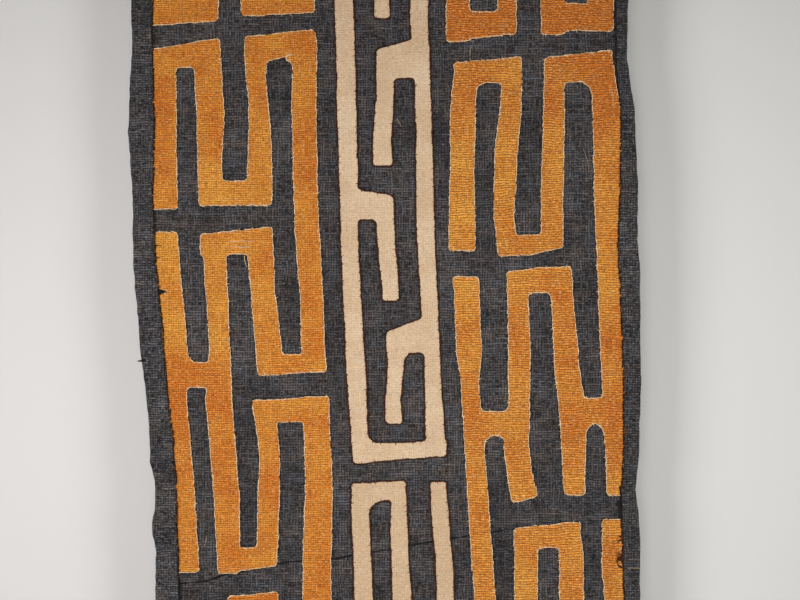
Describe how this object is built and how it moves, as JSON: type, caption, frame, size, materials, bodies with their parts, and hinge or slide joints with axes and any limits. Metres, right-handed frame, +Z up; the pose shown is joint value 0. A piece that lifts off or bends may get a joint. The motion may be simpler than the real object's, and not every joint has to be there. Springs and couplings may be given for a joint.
{
  "type": "appliqued raffia cloth hanging",
  "caption": "Long narrow raffia cloth hung from its top edge, a dark ground with sewn-on orange meanders, a cream column of hooks and a dark strip down each side.",
  "frame": {"origin": "middle of the cloth's top edge, on the middle of the ground's thickness", "axes": "+Z up along the hanging cloth, +X to the right of a viewer of the front, the sewn-on front faces -Y"},
  "size_m": [0.5139, 0.0112, 0.89],
  "materials": {
    "ground_raffia": "matt charcoal plain-weave raffia",
    "strip_raffia": "matt dark charcoal plain-weave raffia",
    "orange_raffia": "matt mottled orange ribbed raffia",
    "cream_raffia": "matt pale cream fine raffia"
  },
  "bodies": {
    "root": {"ground_upper": "ground_raffia", "ground_lower": "ground_raffia", "left_strip": "strip_raffia", "right_strip": "strip_raffia", "orange_left": "orange_raffia", "orange_right": "orange_raffia", "orange_top_a": "orange_raffia", "orange_top_b": "orange_raffia", "orange_top_c": "orange_raffia", "orange_top_d": "orange_raffia", "orange_foot_a": "orange_raffia", "orange_foot_b": "orange_raffia", "orange_foot_c": "orange_raffia", "cream_frame": "cream_raffia", "cream_foot_a": "cream_raffia", "cream_foot_b": "cream_raffia"}
  },
  "joints": []
}
